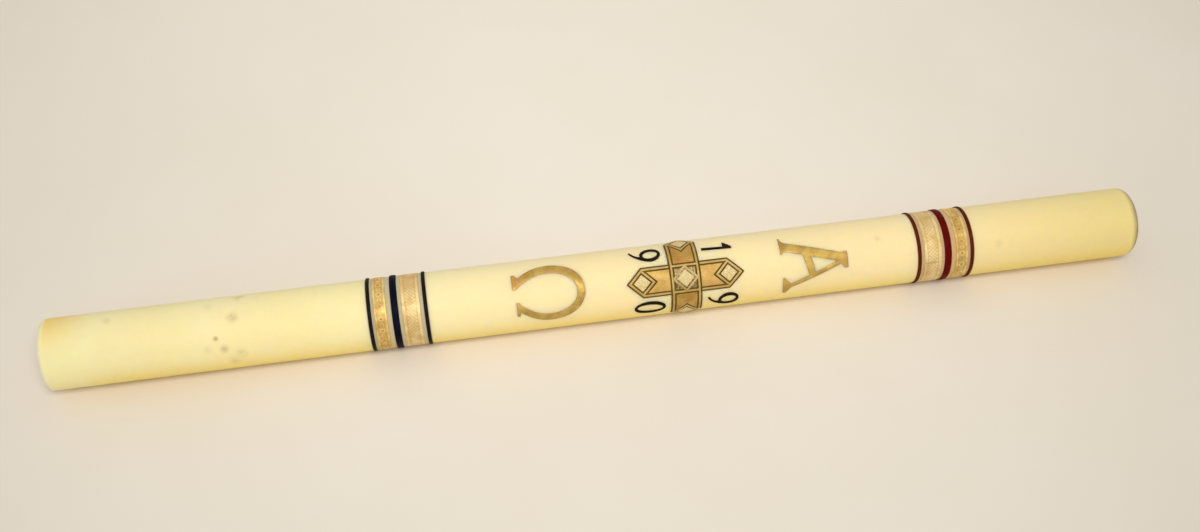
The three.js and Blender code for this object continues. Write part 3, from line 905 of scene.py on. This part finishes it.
def gold_foil(name, bright, dull, warm, metal=0.45, rough=0.54):
    """Gold-faced wax sheet: bright where it is smooth, duller and warmer in patches, and worn to
    brown in the places that its relief marks as hollows."""
    finish = Finish(name)
    patches = finish.noise(95.0, 4.0, 0.6).ranged(0.36, 0.66)
    warmth = finish.noise(38.0, 3.0, 0.55).ranged(0.45, 0.68, 0.0, 0.75)
    specks = finish.noise(1100.0, 3.0, 0.7).ranged(0.58, 0.74, 0.0, 0.45)
    tint = finish.painted(
        bright, (patches, dull), (warmth, warm), (specks, (120, 88, 40)),
        (finish.attribute("hollow"), (150, 108, 44)),
    )
    crinkle_depth = 0.00005
    return finish.shaded(
        {
            "Base Color": tint,
            "Metallic": metal,
            "Roughness": finish.roughness(420.0, 4.0, rough - 0.08, rough + 0.14),
            "Specular IOR Level": 0.3,
        },
        (finish.noise(2200.0, 2.0, 0.6), crinkle_depth / 3),
        (finish.noise(520.0, 4.0, 0.6), crinkle_depth),
    )


def mosaic_foil():
    """Chips in greyed gold, each in its own tone."""
    finish = Finish("mosaic_sheet")
    tone = finish.attribute("tone").ranged(0.1, 0.9)
    warm = finish.noise(300.0).ranged(0.4, 0.65, 0.0, 0.5)
    return finish.shaded(
        {
            "Base Color": finish.painted(
                (94, 81, 50), (tone, (184, 162, 106)), (warm, (160, 130, 74))
            ),
            "Metallic": 0.3,
            "Roughness": finish.roughness(500.0, 3.0, 0.3, 0.5),
        },
        (finish.noise(1500.0, 3.0), 0.00003),
    )


def cream_wax():
    """Cream wax of the lozenges, finely speckled darker."""
    finish = Finish("cream_sheet")
    speckle = finish.noise(900.0, 4.0, 0.65).ranged(0.42, 0.64)
    return finish.shaded(
        {
            "Base Color": finish.painted((202, 177, 116), (speckle, (238, 215, 156))),
            "Roughness": finish.roughness(400.0, 3.0, 0.42, 0.6),
            "Subsurface Weight": 0.1,
            "Subsurface Scale": 0.001,
        },
        (finish.noise(1300.0, 3.0), 0.00003),
    )


def cotton():
    """Waxed cotton of the wick, singed at its tip."""
    finish = Finish("cotton_wick")
    tip = foot.x + wick_top * MM
    fuzz = finish.noise(900.0, 4.0, 0.6, (0.35, 1.0, 1.0))
    ragged = finish.split(finish.place)[0] + finish.noise(600.0, 3.0) * 0.0025
    singed = ragged.ranged(tip - 0.0045, tip - 0.0005)
    tint = finish.painted(
        (196, 182, 142), (fuzz.ranged(0.35, 0.65), (232, 221, 184)), (singed, (46, 38, 30))
    )
    return finish.shaded({"Base Color": tint, "Roughness": 0.8}, (fuzz, 0.0001))


def pale_floor():
    """Smooth pale card, with the faintest cloudiness."""
    finish = Finish("pale_floor")
    cloud = finish.noise(3.0, 4.0, 0.6).ranged(0.3, 0.7)
    return finish.shaded(
        {
            "Base Color": finish.painted((236, 227, 212), (cloud, (233, 223, 206))),
            "Roughness": 0.9,
            "Specular IOR Level": 0.1,
        },
        (finish.noise(700.0, 3.0), 0.00002),
    )


# Dyed wax sheets: deep and light colour
dyed_waxes = {
    "navy_wax": ((6, 7, 20), (12, 14, 36)),
    "blue_black_wax": ((20, 15, 14), (32, 25, 22)),
    "crimson_wax": ((86, 3, 1), (102, 8, 2)),
    "dark_red_wax": ((80, 26, 1), (94, 35, 3)),
    "black_wax": ((26, 19, 4), (42, 32, 8)),
    "outline_wax": ((92, 68, 16), (114, 86, 26)),
}

# Gold sheets: bright, dull and warm colour, then how metallic and how rough
gold_sheets = {
    "gold_sheet": ((242, 214, 138), (202, 164, 86), (224, 180, 102), 0.4, 0.47),
    "satin_sheet": ((238, 212, 154), (212, 182, 118), (226, 190, 130), 0.4),
    "ochre_sheet": ((200, 168, 88), (172, 140, 66), (190, 146, 80)),
    "fill_sheet": ((206, 170, 94), (188, 150, 78), (198, 150, 86), 0.3),
    "bronze_sheet": ((194, 158, 84), (168, 130, 58), (182, 132, 66)),
    "pale_gold_sheet": ((198, 172, 110), (176, 147, 82), (186, 153, 88), 0.3),
}

finishes = {
    "ivory_wax": ivory_wax(),
    "cotton_wick": cotton(),
    "mosaic_sheet": mosaic_foil(),
    "cream_sheet": cream_wax(),
    **{name: dyed_wax(name, *colours) for name, colours in dyed_waxes.items()},
    **{name: gold_foil(name, *look) for name, look in gold_sheets.items()},
}


# Pieces

wrap = wrapping_tree()
shifting = shifting_tree()


def new_object(name, data):
    made = bpy.data.objects.new(name, data)
    bpy.context.scene.collection.objects.link(made)
    return made


def mesh_of(name, work):
    mesh = bpy.data.meshes.new(name)
    work.to_mesh(mesh)
    work.free()
    return mesh


def dress(node, work, slot, turn=ornament_turn, trees=(), finish=None):
    """Makes flat work into the piece that stands for a CAD node: runs its own trees on it,
    wraps it round the candle and lets it ride with the candle. Its finish is its slot's,
    unless it is given one of its own."""
    piece = new_object(f"{node}_piece", mesh_of(node, work))
    material = finishes[finish or slot]
    wrapping = {"Wax radius": wax_radius, "Turn": turn, "Waver": waver, "Foot": tuple(foot)}
    for tree, values in [*trees, (wrap, wrapping)]:
        tree.run_on(piece, {**values, "Material": material})
    keep(piece, node)


def keep(piece, node):
    """Shades a finished piece and joins it to the frame."""
    piece.data.name = piece.name
    piece.data.shade_smooth()
    piece.data.set_sharp_from_angle(angle=math.radians(38))
    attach(piece, "root")
    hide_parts(node)


# Wax column and wick. The wick is a core through the whole candle, with a braid round its stub.

def place_wick():
    piece = new_object("wick_piece", mesh_of("wick", wick_core()))
    braid_foot = wax_length - pool_depth - 3
    braid_tree().run_on(piece, {
        "Start": braid_foot,
        "Length": wick_top - braid_foot - 0.5,
        "Braid radius": 1.55,
        "Strand radius": 0.42,
        "Turns": 1.6,
        "Lean": wick_lean,
        "Pairs": 5,
        "Material": finishes["cotton_wick"],
    })
    piece.data.transform(Matrix.Translation(foot) @ Matrix.Scale(MM, 4))
    keep(piece, "wick")


dress("wax_body", column_sheet(), "ivory_wax", 0.0)
place_wick()


# Strips

def place_strip(node, section_of, slot, seam, trees=(), finish=None):
    """Strip of a CAD node's own width, round the candle at the node's place."""
    low, high = up_the_candle(node)
    size = {"Length": strip_length, "Width": high - low}
    strip_trees = [(tree, {**values, **size}) for tree, values in trees]
    strip_trees.append((shifting, {"Rise": (low + high) / 2}))
    work = strip_sheet(section_of(high - low))
    dress(node, work, slot, seam + math.pi, strip_trees, finish)


rosettes = [(rosette_tree(), {"Face height": ground_height, "Rosettes": 18, "Beads": 150})]
lattice = [(lattice_tree(), {"Face height": ground_height, "Columns": 60})]
pressed = (pressed_section, rosettes, "gold_sheet")
satin = (satin_section, lattice, "satin_sheet")

for level in ("lower_line", "band", "upper_line"):
    blue_finish = "navy_wax" if level == "band" else "blue_black_wax"
    place_strip(f"blue_{level}", domed_section, "navy_wax", hidden_seam, finish=blue_finish)
    red_slot = "crimson_wax" if level == "band" else "dark_red_wax"
    place_strip(f"red_{level}", domed_section, red_slot, hidden_seam)
for band, seam, (section_of, trees, finish) in (
    ("blue_lower", hidden_seam, pressed), ("blue_upper", hidden_seam, satin),
    ("red_lower", shown_seam, satin), ("red_upper", shown_seam, pressed),
):
    place_strip(f"{band}_gold_strip", section_of, "gold_sheet", seam, trees, finish)


# Letters

omega_shift = -2.1


def omega_loop(height):
    """Omega: an open bowl, thick at its sides, on two slab feet."""
    width, widest, left_stroke, right_stroke, top_stroke = 54.6, 33, 8.8, 7.4, 7.2
    neck_height, neck_inside, foot_inside, foot_slab = 5.8, 8, 5.7, 2.6
    left_foot_outside, right_foot_outside, right_foot_rise = 20.3, 19.2, 2.2
    flank_lean, flank_rise = 0.63, 0.33
    outside = width / 2
    inside_left = -outside + left_stroke
    inside_right = outside - right_stroke
    bowl = height - widest
    rise = widest - neck_height

    def flank(neck_x, side_x):
        return bend([
            (neck_x, neck_height),
            (neck_x + flank_lean * (side_x - neck_x), neck_height + flank_rise * rise),
            (side_x, neck_height + flank_lean * rise),
            (side_x, widest),
        ], 20)

    return loop_of(
        (-left_foot_outside, 0),
        (-foot_inside, 0),
        (-foot_inside, foot_slab),
        flank(-neck_inside, inside_left),
        arc(
            (inside_left + inside_right) / 2, widest,
            (inside_right - inside_left) / 2, bowl - top_stroke, math.pi, 0, 40,
        ),
        flank(neck_inside, inside_right)[::-1],
        (foot_inside, right_foot_rise + foot_slab),
        (foot_inside, right_foot_rise),
        (right_foot_outside, right_foot_rise),
        (right_foot_outside, right_foot_rise + foot_slab),
        flank(neck_inside + right_stroke, outside),
        arc(0, widest, outside, bowl, 0, math.pi, 56),
        flank(-neck_inside - left_stroke, -outside)[::-1],
        (-left_foot_outside, foot_slab),
    )


def alpha_loops(height):
    """Alpha: a thick left stroke, a thin right one, a wedge-shaped bar and bracketed serifs."""
    thick_foot, thick_apex, thick_stroke, thick_bracket = -23, -4.4, 8.9, 7
    thin_foot, thin_apex, thin_stroke, thin_bracket = 25.4, 2, 4.4, 7.5
    thick_outer_serif, thick_inner_serif, thin_outer_serif, thin_inner_serif = 4.4, 4, 3.3, 9.5
    slab, heel = 1.6, 3
    bar_left, bar_right = (20, 27.8), (24.8, 31.2)
    cap_left, cap_right, cap_slab, cap_heel, cap_bracket = -6.8, 8.6, 1.8, 3.8, 6.5

    def edge(foot_x, apex_x):
        return lambda y: (foot_x + (apex_x - foot_x) * y / height, y)

    thick_out = edge(thick_foot, thick_apex)
    thick_in = edge(thick_foot + thick_stroke, thick_apex + thick_stroke)
    thin_out = edge(thin_foot, thin_apex)
    thin_in = edge(thin_foot - thin_stroke, thin_apex - thin_stroke)
    left_end = thick_foot - thick_outer_serif
    left_inner = thick_foot + thick_stroke + thick_inner_serif
    right_inner = thin_foot - thin_stroke - thin_inner_serif
    right_end = thin_foot + thin_outer_serif
    foot_gap = thin_foot - thin_stroke - thick_foot - thick_stroke
    crotch = height * foot_gap / (thin_foot - thick_foot - thin_apex + thick_apex)
    outline = loop_of(
        (left_end, 0),
        (left_inner, 0),
        bend([(left_inner, slab), thick_in(slab), thick_in(thick_bracket)]),
        thick_in(bar_left[0]),
        thin_in(bar_right[0]),
        thin_in(thin_bracket),
        (right_inner, slab),
        (right_inner, 0),
        (right_end, 0),
        (right_end, heel),
        thin_out(thin_bracket),
        thin_out(height - cap_bracket),
        (cap_right, height - cap_heel),
        (cap_right, height),
        (cap_left, height),
        (cap_left, height - cap_slab),
        thick_out(height - cap_bracket),
        bend([thick_out(thick_bracket), thick_out(slab), (left_end, slab)]),
    )
    counter = loop_of(thick_in(bar_left[1]), thin_in(bar_right[1]), thick_in(crotch))
    return outline, [counter]


omega_low, omega_high = up_the_candle("omega")
alpha_low, alpha_high = up_the_candle("alpha")
for letter, (outline, holes), x, low in (
    ("omega", (omega_loop(omega_high - omega_low), []), omega_shift, omega_low),
    ("alpha", alpha_loops(alpha_high - alpha_low), 0, alpha_low),
):
    work = cut_sheet(
        shifted(outline, x, low), [shifted(hole, x, low) for hole in holes],
        letter_height, 0.3, crown=0.3, crown_width=2.2,
    )
    dress(letter, work, "ochre_sheet")


# Cross: pointed bars of equal width, with a lozenge at each end and one over the crossing

cross_low, cross_high = up_the_candle("cross_backing")
cross_centre = (cross_low + cross_high) / 2
cross_reach = (cross_high - cross_low) / 2
cross_half_width = 14.4
lozenge_distance = cross_reach - cross_half_width
outline_width = 1.5
border_width = 1.8
diagonal = math.sqrt(2)
border_outside = cross_half_width - outline_width
border_inside = border_outside - border_width
fill_half_width = border_inside - outline_width
frame_diagonal = cross_half_width - outline_width * diagonal
frame_inside_diagonal = frame_diagonal - border_width * diagonal
lozenge_diagonal = frame_inside_diagonal - outline_width * diagonal
border_tip = lozenge_distance + frame_diagonal
border_notch = lozenge_distance - frame_diagonal
border_shoulder = border_tip - border_outside


def lozenge_loop(half_diagonal, centre_y=0.0):
    return loop_of(
        (half_diagonal, centre_y), (0, centre_y + half_diagonal),
        (-half_diagonal, centre_y), (0, centre_y - half_diagonal),
    )


def square_loop(side):
    """Square, by its half side."""
    return loop_of((side, side), (-side, side), (-side, -side), (side, -side))


def gable_loop(half_width, low, shoulder, tip):
    """End of a bar: pointed, or notched where its tip is lower than its shoulders."""
    return loop_of(
        (half_width, low), (half_width, shoulder), (0, tip),
        (-half_width, shoulder), (-half_width, low),
    )


def quarter_turned(loop, turns):
    """Loop turned about the cross's centre by quarter turns, and moved to its place."""
    cosine, sine = ((1, 0), (0, 1), (-1, 0), (0, -1))[turns]
    return [
        Vector((x * cosine - y * sine, x * sine + y * cosine + cross_centre)) for x, y in loop
    ]


def backing_loop():
    quarter = gable_loop(cross_half_width, cross_half_width, lozenge_distance, cross_reach)[:-1]
    return [point for turns in range(4) for point in quarter_turned(quarter, turns)]


def border_window(low):
    """Opening between a border's sides, from a height up to the notch at the lozenge's frame."""
    return gable_loop(border_inside, low, border_notch + border_inside, border_notch)


def upright_border_loops():
    """Gold border of one upright arm: two side strips and the lozenge frame at its end."""
    outline = loop_of(
        gable_loop(border_outside, cross_half_width, border_shoulder, border_tip),
        border_window(cross_half_width)[::-1],
    )
    return outline, [lozenge_loop(frame_inside_diagonal, lozenge_distance)]


def crossbar_border_loops():
    """Gold border of the crossbar, in one piece from tip to tip, open over the crossing."""
    outline = loop_of(
        gable_loop(border_outside, -border_shoulder, border_shoulder, border_tip),
        (0, -border_tip),
    )
    window = border_window(border_outside)
    return outline, [
        square_loop(border_inside), window, [-point for point in window],
        *(lozenge_loop(frame_inside_diagonal, end * lozenge_distance) for end in (1, -1)),
    ]


def fill_loop():
    """Fill of one arm, cut round the lozenge's frame."""
    notch = lozenge_distance - cross_half_width
    fill = gable_loop(fill_half_width, cross_half_width, notch + fill_half_width, notch)
    return fill[-1:] + fill[:-1]


def place_border(node, loops, turns, height, drop):
    outline, holes = loops
    work = cut_sheet(
        quarter_turned(outline, turns), [quarter_turned(hole, turns) for hole in holes],
        height, 0.3, drop, crown=0.16, crown_width=1.0, spacing=0.65,
    )
    dress(node, work, "pale_gold_sheet")


def place_lozenge(node, centre_y, turns, height, drop, seed):
    loop = quarter_turned(lozenge_loop(lozenge_diagonal, centre_y), turns)
    dots = (stipple, {"Spacing": 0.78, "Seed": seed})
    dress(node, cut_sheet(loop, (), height, 0.2, drop), "cream_sheet", trees=[dots])


def place_fill(node, turns, slot, drop, finish=None):
    loop = quarter_turned(fill_loop(), turns)
    work = cut_sheet(loop, (), inlay_height, 0.18, drop, crown=0.12, crown_width=4.0)
    dress(node, work, slot, finish=finish)


def place_centre(on_backing):
    """Mosaic panel over the crossing, with the raised lozenge and its frame on it."""
    panel = cut_sheet(square_loop(fill_half_width), (), panel_height, 0.06, on_backing)
    chips = {
        "Side": 2 * fill_half_width - 0.2, "Face height": panel_height, "Chips": 15, "Seed": 7,
    }
    rise = {"Rise": cross_centre}
    dress("centre_panel", panel, "mosaic_sheet", trees=[(mosaic_tree(), chips), (shifting, rise)])
    on_panel = -backing_height - lap
    frame_loops = lozenge_loop(frame_diagonal), [lozenge_loop(frame_inside_diagonal)]
    place_border("centre_lozenge_frame", frame_loops, 0, centre_border_height, on_panel)
    place_lozenge("centre_lozenge", 0.0, 0, centre_lozenge_height, on_panel, 4)


def place_cross():
    on_backing = lap - backing_height
    dress("cross_backing", cut_sheet(backing_loop(), (), backing_height, 0.15), "outline_wax")
    place_border("crossbar_frame", crossbar_border_loops(), 1, border_height, on_backing)
    for turns, side in enumerate(("upper", "left", "lower", "right")):
        if side in ("upper", "lower"):
            borders = upright_border_loops()
            place_border(f"upright_frame_{side}", borders, turns, border_height, on_backing)
            place_fill(f"upright_fill_{side}", turns, "ochre_sheet", on_backing, "fill_sheet")
        else:
            place_fill(f"crossbar_fill_{side}", turns, "bronze_sheet", on_backing)
        place_lozenge(
            f"lozenge_{side}", lozenge_distance, turns, inlay_height, on_backing, seed=turns
        )
    place_centre(on_backing)


stipple = stipple_tree()
place_cross()


# Numerals, one in each quarter of the cross

numeral_tall, numeral_wide, numeral_margin = 29, 16, 5
numeral_thick, numeral_thin = 3.8, 2.7
zero_shift, zero_slant = -0.9, math.radians(-4)


def one_loops():
    """One: a leaning stem with a flag."""
    low, high = -15.3, 12.4
    foot_left, foot_right, head_left, head_right = -0.5, 2.6, 1.2, 3.8
    flag_tip, flag_top, flag_slab, flag_root = -4.7, 5.8, 1.1, 4.4
    root_share = (flag_root - low) / (high - low)
    return loop_of(
        (foot_left, low), (foot_right, low), (head_right, high), (head_left, high),
        (flag_tip, flag_top), (flag_tip, flag_top - flag_slab),
        (foot_left + (head_left - foot_left) * root_share, flag_root),
    ), []


def oval_counter(centre_x, centre_y, half_height, slant):
    """The slanted counter that gives a bowl its pen-like stress."""
    return loop_of(arc(
        centre_x, centre_y, numeral_wide / 2 - numeral_thick, half_height - numeral_thin,
        0, whole_turn, 48, slant,
    )[:-1])


def zero_loops():
    """Zero: an upright oval with a slanted counter."""
    half = numeral_tall / 2
    outline = loop_of(arc(zero_shift, 0, numeral_wide / 2, half, 0, whole_turn, 56)[:-1])
    return outline, [oval_counter(zero_shift, 0, half, zero_slant)]


def nine_loops():
    """Nine: a leaning oval bowl whose right side sweeps down into a tail."""
    lean, bowl_share, side_bend = math.radians(8), 0.66, 6
    inner_bend, outer_bend = (0.45, 4.6), (2.2, 2.3)
    tail_reach, tail_slab = 5.9, 1.3
    half = numeral_wide / 2
    bowl = numeral_tall * bowl_share / 2
    centre = numeral_tall / 2 - bowl
    base = -numeral_tall / 2

    def on_bowl(x, y):
        point = Vector((x, y))
        point.rotate(Matrix.Rotation(lean, 2))
        return point + Vector((0, centre))

    round_bowl = arc(0, centre, half, bowl, 0, 1.5 * math.pi, 48, lean)
    outline = loop_of(
        round_bowl,
        bend([
            round_bowl[-1],
            (inner_bend[0], base + inner_bend[1]),
            (-tail_reach, base + tail_slab),
        ], 12),
        bend([
            (tail_slab - tail_reach, base),
            (outer_bend[0], base + outer_bend[1]),
            on_bowl(half, -side_bend),
            on_bowl(half, 0),
        ], 24)[:-1],
    )
    return outline, [oval_counter(0, centre, bowl, lean)]


numeral_across = cross_half_width + numeral_margin + numeral_wide / 2
numeral_along = cross_half_width + numeral_margin + numeral_tall / 2
for numeral, (outline, holes), side, end in (
    ("numeral_one", one_loops(), -1, 1),
    ("numeral_nine_upper", nine_loops(), 1, 1),
    ("numeral_nine_lower", nine_loops(), -1, -1),
    ("numeral_zero", zero_loops(), 1, -1),
):
    x, y = side * numeral_across, end * numeral_along + cross_centre
    work = cut_sheet(
        shifted(outline, x, y), [shifted(hole, x, y) for hole in holes],
        numeral_height, 0.25, crown=0.15, crown_width=1.0, spacing=0.7,
    )
    dress(numeral, work, "black_wax")


# Studio

camera_lens = 42.594
camera_azimuth = math.radians(-8.811)
camera_elevation = math.radians(52.427)
camera_aim = Vector((foot.x + 0.50595, 0.04895, 0))
camera_distance = 1.36865
floor_size = 6
floor_clearance = 0.0001
softbox_place, softbox_aim = Vector((0, -0.88, 1.72)), Vector((0, 0.66, 0))
softbox_size, softbox_power, softbox_spread = 0.6, 5.5, math.radians(83)
ambient_strength = 0.57


def aim(thing, place, way):
    """Puts a camera or lamp in its place and turns it the way that it looks."""
    thing.location = place
    thing.rotation_mode = "QUATERNION"
    thing.rotation_quaternion = way.to_track_quat("-Z", "Y")


def place_camera():
    camera = new_object("camera", bpy.data.cameras.new("camera"))
    back = Vector((
        math.sin(camera_azimuth) * math.cos(camera_elevation),
        -math.cos(camera_azimuth) * math.cos(camera_elevation),
        math.sin(camera_elevation),
    ))
    aim(camera, camera_aim + back * camera_distance, -back)
    camera.data.lens = camera_lens
    camera.data.sensor_width = 36
    bpy.context.scene.camera = camera


def place_softbox():
    lamp = new_object("softbox", bpy.data.lights.new("softbox", "AREA"))
    lamp.data.shape = "DISK"
    lamp.data.size = softbox_size
    lamp.data.energy = softbox_power
    lamp.data.spread = softbox_spread
    aim(lamp, softbox_place, softbox_aim - softbox_place)


def place_floor():
    work = bmesh.new()
    bmesh.ops.create_grid(work, x_segments=2, y_segments=2, size=floor_size)
    floor = new_object("floor", mesh_of("floor", work))
    floor.data.materials.append(pale_floor())
    floor.location.z = -floor_clearance


def light_world():
    """Even light from all round; a pale backdrop where the camera or gloss sees it."""
    world = bpy.data.worlds.new("studio")
    world.use_nodes = True
    bpy.context.scene.world = world
    tree = Tree(world.node_tree)
    nodes = world.node_tree.nodes
    ambient = nodes["Background"]
    ambient.inputs["Color"].default_value = (1.0, 0.99, 0.975, 1.0)
    ambient.inputs["Strength"].default_value = ambient_strength
    backdrop = tree.add(
        "ShaderNodeBackground", {"Color": colour(232, 223, 208), "Strength": 1.0}
    )
    rays = tree.node("ShaderNodeLightPath").outputs
    camera, gloss, glass = (
        Output(tree, rays[f"Is {kind} Ray"]) for kind in ("Camera", "Glossy", "Transmission")
    )
    seen = tree.number("MAXIMUM", tree.number("MAXIMUM", camera, gloss), glass)
    light = Output(tree, ambient.outputs[0])
    mix = tree.add("ShaderNodeMixShader", {0: seen, 1: light, 2: backdrop})
    tree.set_input(nodes["World Output"].inputs["Surface"], mix)


place_camera()
place_softbox()
place_floor()
light_world()
bpy.context.scene.view_settings.view_transform = "Standard"
